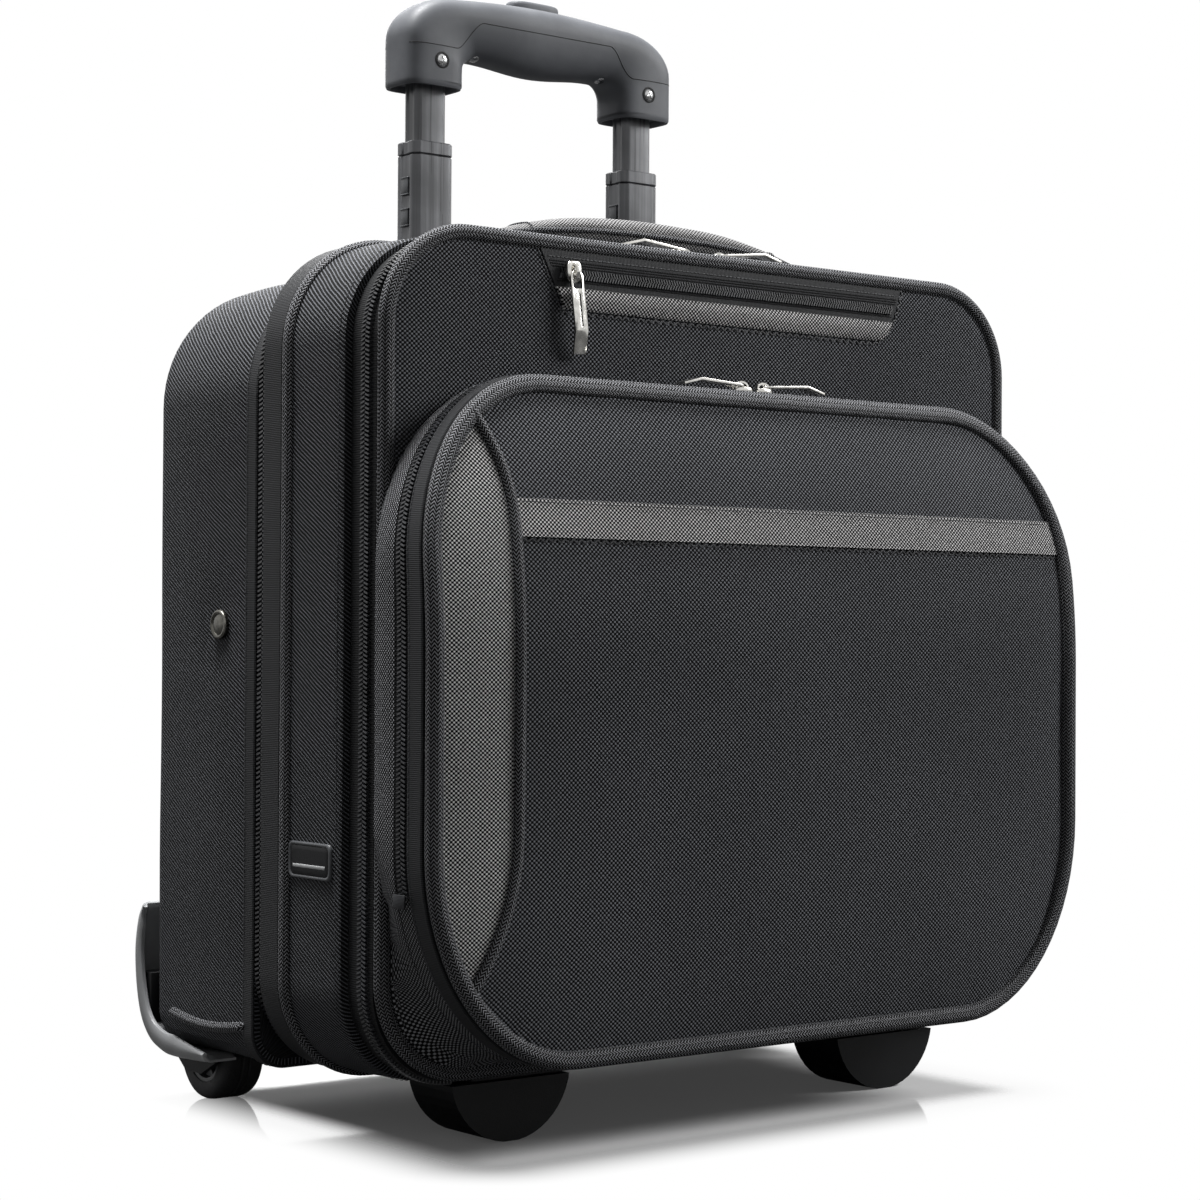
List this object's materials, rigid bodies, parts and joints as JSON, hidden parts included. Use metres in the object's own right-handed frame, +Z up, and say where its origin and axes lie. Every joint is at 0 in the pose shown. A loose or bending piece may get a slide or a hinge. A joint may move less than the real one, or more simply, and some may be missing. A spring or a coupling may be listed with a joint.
{
  "type": "pilot rolling flight case",
  "caption": "Soft-sided wheeled flight case with a telescoping trolley, carry handle, zipped main compartment and front pocket, rear wheels in corner guards and moulded front feet.",
  "frame": {"origin": "centre of the bounding box's base, on the floor", "axes": "+Z up; the front with the pocket faces -Y, the trolley and wheels are at +Y; +X is the right side seen from the front"},
  "size_m": [0.4306, 0.2776, 0.5984],
  "materials": {
    "ballistic": "woven charcoal ballistic polyester",
    "grey_fabric": "grey accent weave",
    "piping": "dark woven cord piping",
    "coil": "black nylon coil and tape",
    "lining": "padded lining",
    "board": "stiff black sheet",
    "tube": "satin gunmetal anodised",
    "black_plastic": "black moulded plastic",
    "grip_plastic": "dark grey soft-touch moulding",
    "guard_plastic": "mid-grey satin moulding",
    "tyre": "black wheel",
    "steel": "steel screws and axles",
    "nickel": "polished nickel zip hardware"
  },
  "bodies": {
    "case": {"rear_shell": "ballistic", "rear_zip": "coil", "middle_shell": "ballistic", "middle_piping": "piping", "main_zip_rear_half": "coil", "divider_panel": "lining", "base_board": "board", "trolley_lining": "lining", "tube_bracket": "black_plastic", "tube_bezel": "black_plastic", "outer_tube_left": "tube", "outer_tube_right": "tube", "corner_guard_left": "guard_plastic", "corner_guard_right": "guard_plastic", "wheel_housing_left": "black_plastic", "wheel_housing_right": "black_plastic", "axle_left": "steel", "axle_right": "steel", "front_foot_left": "black_plastic", "front_foot_right": "black_plastic", "handle_anchor_left": "ballistic", "handle_anchor_right": "ballistic", "side_label": "black_plastic", "rivet_left": "nickel", "rivet_right": "nickel"},
    "trolley_middle": {"middle_tube_left": "tube", "middle_tube_right": "tube", "middle_collar_left": "black_plastic", "middle_collar_right": "black_plastic"},
    "trolley_upper": {"inner_tube_left": "tube", "inner_tube_right": "tube", "grip_lower": "grip_plastic", "grip_upper": "grip_plastic", "grip_screw_left": "steel", "grip_screw_right": "steel"},
    "button": {"grip_button": "black_plastic"},
    "left_wheel": {"wheel_left": "tyre"},
    "right_wheel": {"wheel_right": "tyre"},
    "front_lid": {"main_zip_front_half": "coil", "front_panel": "ballistic", "front_piping": "piping", "organiser_zip": "coil", "organiser_strip": "grey_fabric", "pocket_gusset": "ballistic"},
    "pocket_flap": {"pocket_zip_front_half": "coil", "pocket_front": "ballistic", "pocket_piping": "piping", "pocket_insert": "grey_fabric", "pocket_band": "grey_fabric"},
    "top_handle": {"carry_handle": "grey_fabric"},
    "b_main_slider_left": {"main_slider_left": "nickel"},
    "b_main_slider_right": {"main_slider_right": "nickel"},
    "b_pocket_slider_left": {"pocket_slider_left": "nickel"},
    "b_pocket_slider_right": {"pocket_slider_right": "nickel"},
    "b_organiser_slider": {"organiser_slider": "nickel"},
    "b_main_pull_left": {"main_pull_left": "nickel"},
    "b_main_pull_right": {"main_pull_right": "nickel"},
    "b_pocket_pull_left": {"pocket_pull_left": "nickel"},
    "b_pocket_pull_right": {"pocket_pull_right": "nickel"},
    "b_organiser_pull": {"organiser_pull": "nickel"}
  },
  "joints": [
    {"name": "trolley_lower_slide", "type": "slide", "parent": "case", "child": "trolley_middle", "axis": [0, 0, 1], "range_m": [-0.069, 0.225]},
    {"name": "trolley_upper_slide", "type": "slide", "parent": "trolley_middle", "child": "trolley_upper", "axis": [0, 0, 1], "range_m": [-0.028, 0.215]},
    {"name": "button_press", "type": "slide", "parent": "trolley_upper", "child": "button", "axis": [0, 0, -1], "range_m": [0, 0.003], "stiffness_N_per_m": 900, "springref_m": -0.001},
    {"name": "wheel_left_spin", "type": "hinge", "parent": "case", "child": "left_wheel", "pos_m": [-0.176, 0.10875, 0.025], "axis": [1, 0, 0], "continuous": true},
    {"name": "wheel_right_spin", "type": "hinge", "parent": "case", "child": "right_wheel", "pos_m": [0.176, 0.10875, 0.025], "axis": [1, 0, 0], "continuous": true},
    {"name": "front_panel_open", "type": "hinge", "parent": "case", "child": "front_lid", "pos_m": [0, -0.08075, 0.03], "axis": [1, 0, 0], "range_deg": [0, 45]},
    {"name": "pocket_open", "type": "hinge", "parent": "front_lid", "child": "pocket_flap", "pos_m": [0, -0.11425, 0.042], "axis": [1, 0, 0], "range_deg": [0, 16]},
    {"name": "carry_handle_lean", "type": "hinge", "parent": "case", "child": "top_handle", "pos_m": [0, -0.02325, 0.447], "axis": [1, 0, 0], "range_deg": [-20, 20]},
    {"name": "main_slider_left_slide", "type": "slide", "parent": "case", "child": "b_main_slider_left", "axis": [-1, 0, 0], "range_m": [0, 0.14]},
    {"name": "main_pull_left_swing", "type": "hinge", "parent": "b_main_slider_left", "child": "b_main_pull_left", "pos_m": [-0.015, -0.07425, 0.4408], "axis": [0, 1, 0], "range_deg": [0, 95]},
    {"name": "pocket_slider_left_slide", "type": "slide", "parent": "front_lid", "child": "b_pocket_slider_left", "axis": [-1, 0, 0], "range_m": [0, 0.13]},
    {"name": "pocket_pull_left_swing", "type": "hinge", "parent": "b_pocket_slider_left", "child": "b_pocket_pull_left", "pos_m": [0.0005, -0.10142, 0.3718], "axis": [0, 1, 0], "range_deg": [0, 95]},
    {"name": "main_slider_right_slide", "type": "slide", "parent": "case", "child": "b_main_slider_right", "axis": [1, 0, 0], "range_m": [0, 0.145]},
    {"name": "main_pull_right_swing", "type": "hinge", "parent": "b_main_slider_right", "child": "b_main_pull_right", "pos_m": [0.009, -0.07425, 0.4408], "axis": [0, -1, 0], "range_deg": [0, 95]},
    {"name": "pocket_slider_right_slide", "type": "slide", "parent": "front_lid", "child": "b_pocket_slider_right", "axis": [1, 0, 0], "range_m": [0, 0.115]},
    {"name": "pocket_pull_right_swing", "type": "hinge", "parent": "b_pocket_slider_right", "child": "b_pocket_pull_right", "pos_m": [0.015, -0.10142, 0.3718], "axis": [0, -1, 0], "range_deg": [0, 95]},
    {"name": "organiser_slider_slide", "type": "slide", "parent": "front_lid", "child": "b_organiser_slider", "axis": [1, 0, 0], "range_m": [0, 0.205]},
    {"name": "organiser_pull_swing", "type": "hinge", "parent": "b_organiser_slider", "child": "b_organiser_pull", "pos_m": [-0.1, -0.09345, 0.422], "axis": [-1, 0, 0], "range_deg": [0, 100]}
  ]
}
